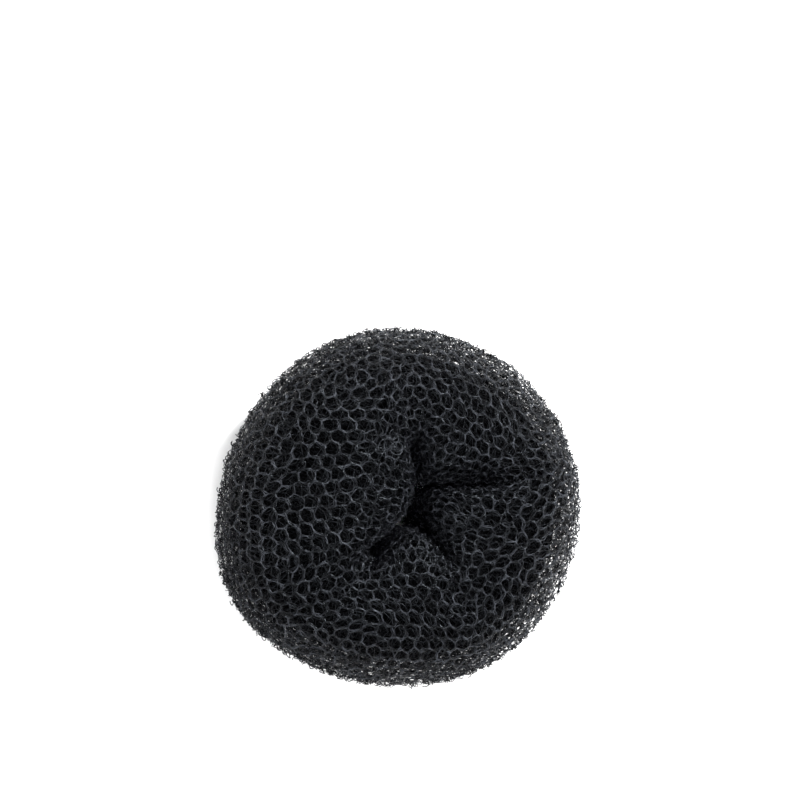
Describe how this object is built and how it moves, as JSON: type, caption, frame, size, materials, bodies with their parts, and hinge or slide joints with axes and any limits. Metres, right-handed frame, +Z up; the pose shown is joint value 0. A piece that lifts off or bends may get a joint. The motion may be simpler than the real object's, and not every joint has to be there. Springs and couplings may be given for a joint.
{
  "type": "hair bun maker",
  "caption": "Soft ring of rolled black nylon net with a pinched hole, which fills out a hair bun wound round it.",
  "frame": {"origin": "middle of the ring's footprint, on the surface that it lies on", "axes": "+Z up through the ring, +X towards the side with the two creases that run right, +Y towards the side with the crease that runs straight up, seen from above"},
  "size_m": [0.06, 0.0574, 0.026],
  "materials": {
    "black_nylon_net": "black nylon monofilament knitted into a springy net of round to hexagonal cells about 2.2 mm across, slightly glossy strands"
  },
  "bodies": {
    "root": {"rolled_net": "black_nylon_net"}
  },
  "joints": []
}
